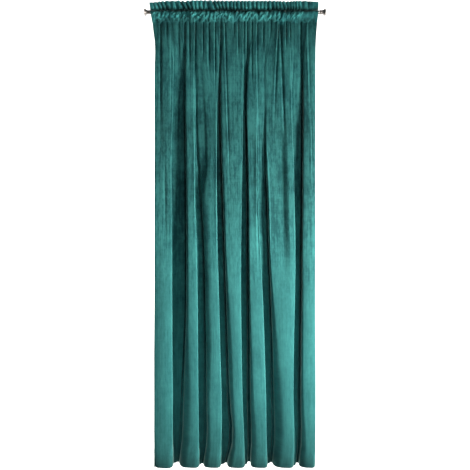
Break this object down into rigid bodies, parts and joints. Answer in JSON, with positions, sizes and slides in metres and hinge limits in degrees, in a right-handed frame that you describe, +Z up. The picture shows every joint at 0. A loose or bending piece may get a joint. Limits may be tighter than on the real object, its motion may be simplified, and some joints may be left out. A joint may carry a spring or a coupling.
{
  "type": "velvet curtain and curtain rod",
  "caption": "Velvet curtain panel gathered by its rod pocket on a slim metal rod with trumpet finials, with a standing frill above the rod and deep soft folds below.",
  "frame": {"origin": "middle of the rod's axis, where the rod is held up", "axes": "+Z up along the hanging cloth, +X along the rod to the viewer's right, -Y to the room that the curtain faces"},
  "size_m": [0.98, 0.0841, 2.5036],
  "materials": {
    "velvet": "teal crushed velvet, soft sheen on the pile",
    "rod_metal": "polished nickel",
    "finial_metal": "polished nickel"
  },
  "bodies": {
    "root": {"curtain_panel": "velvet", "curtain_rod": "rod_metal", "finial_left": "finial_metal", "finial_right": "finial_metal"}
  },
  "joints": []
}
